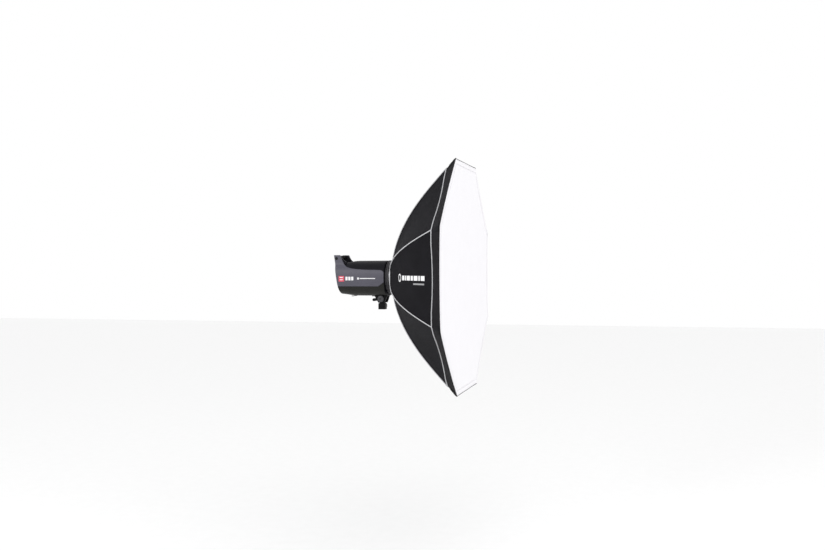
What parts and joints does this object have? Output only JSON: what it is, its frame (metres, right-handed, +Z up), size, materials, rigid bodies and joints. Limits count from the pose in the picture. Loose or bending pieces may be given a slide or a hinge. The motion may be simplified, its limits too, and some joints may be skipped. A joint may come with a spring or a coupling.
{
  "type": "studio softbox",
  "caption": "Octagonal studio softbox with sprung rods and a white front diffuser on a rotating ring, carried by a flash head with a tilting stand bracket.",
  "frame": {"origin": "centre of the stand socket's mouth", "axes": "+Z up along the stand socket, +X the way the light points"},
  "size_m": [0.5544, 0.9296, 0.9296],
  "materials": {
    "black_cloth": "woven",
    "white_diffuser": "translucent woven",
    "strap_webbing": "woven",
    "piping": "reflective cord",
    "hook_loop": "brushed",
    "rod_steel": "spring steel",
    "ring_alloy": "cast",
    "black_plastic": "fine texture",
    "grey_panel": "satin",
    "bottom_plastic": "fine texture",
    "knob_plastic": "moulded",
    "button_plastic": "moulded",
    "rocker_red": "gloss",
    "display_glass": "gloss",
    "chassis_steel": "plated",
    "dark_metal": "satin",
    "board_green": "solder mask",
    "capacitor_sleeve": "shrink sleeve",
    "reflector": "polished",
    "ceramic": "ceramic",
    "lamp_glass": "frosted",
    "dome_glass": "clear",
    "rubber": "matt"
  },
  "bodies": {
    "stand_mount": {"socket_block": "dark_metal"},
    "clamp_knob": {"clamp_knob": "knob_plastic"},
    "head": {"bayonet_flange": "ring_alloy", "retaining_ring": "ring_alloy", "front_collar": "black_plastic", "inner_chassis": "chassis_steel", "top_cover": "black_plastic", "side_cover_left": "grey_panel", "side_cover_right": "grey_panel", "bottom_cover": "bottom_plastic", "rear_panel": "black_plastic", "display_window": "display_glass", "handle_bar": "knob_plastic", "mains_inlet": "black_plastic", "fuse_holder": "black_plastic", "sync_socket": "chassis_steel", "circuit_board": "board_green", "capacitors": "capacitor_sleeve", "fan_frame": "black_plastic", "reflector_plate": "reflector", "lamp_holder": "ceramic", "flash_tube": "lamp_glass", "modelling_lamp": "lamp_glass", "glass_dome": "dome_glass", "cover_screws": "dark_metal", "rubber_feet": "rubber", "tilt_lugs": "dark_metal", "pivot_bolt": "dark_metal"},
    "softbox": {"front_diffuser": "white_diffuser", "inner_baffle": "white_diffuser", "baffle_straps": "strap_webbing", "front_band": "black_cloth", "hook_loop_strip": "hook_loop", "spring_rods": "rod_steel", "rod_end_caps": "knob_plastic", "rod_piping": "piping", "seam_piping": "piping", "rear_piping": "piping", "rotating_ring": "ring_alloy", "rod_sockets": "knob_plastic", "shell_panel_1": "black_cloth", "shell_panel_2": "black_cloth", "shell_panel_3": "black_cloth", "shell_panel_4": "black_cloth", "shell_panel_5": "black_cloth", "shell_panel_6": "black_cloth", "shell_panel_7": "black_cloth", "shell_panel_8": "black_cloth"},
    "tilt_lever": {"tilt_lever": "knob_plastic"},
    "lock_ring": {"lock_ring": "black_plastic"},
    "control_dial": {"control_dial": "knob_plastic"},
    "power_rocker": {"power_rocker": "rocker_red"},
    "fan_rotor": {"fan_rotor": "black_plastic"},
    "push_button_1": {"push_button_1": "button_plastic"},
    "push_button_2": {"push_button_2": "button_plastic"},
    "push_button_3": {"push_button_3": "button_plastic"},
    "push_button_4": {"push_button_4": "button_plastic"}
  },
  "joints": [
    {"name": "head_tilt", "type": "hinge", "parent": "stand_mount", "child": "head", "pos_m": [0, 0, 0.044], "axis": [0, 1, 0], "range_deg": [-75, 38]},
    {"name": "clamp_knob_turn", "type": "hinge", "parent": "stand_mount", "child": "clamp_knob", "pos_m": [0, 0.02, 0.014], "axis": [0, 1, 0], "continuous": true},
    {"name": "tilt_lever_turn", "type": "hinge", "parent": "head", "child": "tilt_lever", "pos_m": [0, 0.04, 0.044], "axis": [0, -1, 0], "range_deg": [0, 70]},
    {"name": "softbox_turn", "type": "hinge", "parent": "head", "child": "softbox", "pos_m": [0.055, 0, 0.135], "axis": [1, 0, 0], "continuous": true},
    {"name": "lock_ring_turn", "type": "hinge", "parent": "head", "child": "lock_ring", "pos_m": [0.038, 0, 0.135], "axis": [1, 0, 0], "range_deg": [0, 35]},
    {"name": "dial_turn", "type": "hinge", "parent": "head", "child": "control_dial", "pos_m": [-0.1778, 0, 0.12709], "axis": [0.9888, 0, 0.1495], "continuous": true},
    {"name": "rocker_press", "type": "hinge", "parent": "head", "child": "power_rocker", "pos_m": [-0.16817, -0.03, 0.09012], "axis": [0, -1, 0], "range_deg": [0, 16]},
    {"name": "fan_spin", "type": "hinge", "parent": "head", "child": "fan_rotor", "pos_m": [-0.03, 0, 0.135], "axis": [1, 0, 0], "continuous": true},
    {"name": "button_1_press", "type": "slide", "parent": "head", "child": "push_button_1", "axis": [0.9888, 0, 0.1495], "range_m": [0, 0.0012], "stiffness_N_per_m": 400, "springref_m": -0.0003},
    {"name": "button_2_press", "type": "slide", "parent": "head", "child": "push_button_2", "axis": [0.9888, 0, 0.1495], "range_m": [0, 0.0012], "stiffness_N_per_m": 400, "springref_m": -0.0003},
    {"name": "button_3_press", "type": "slide", "parent": "head", "child": "push_button_3", "axis": [0.9888, 0, 0.1495], "range_m": [0, 0.0012], "stiffness_N_per_m": 400, "springref_m": -0.0003},
    {"name": "button_4_press", "type": "slide", "parent": "head", "child": "push_button_4", "axis": [0.9888, 0, 0.1495], "range_m": [0, 0.0012], "stiffness_N_per_m": 400, "springref_m": -0.0003}
  ]
}
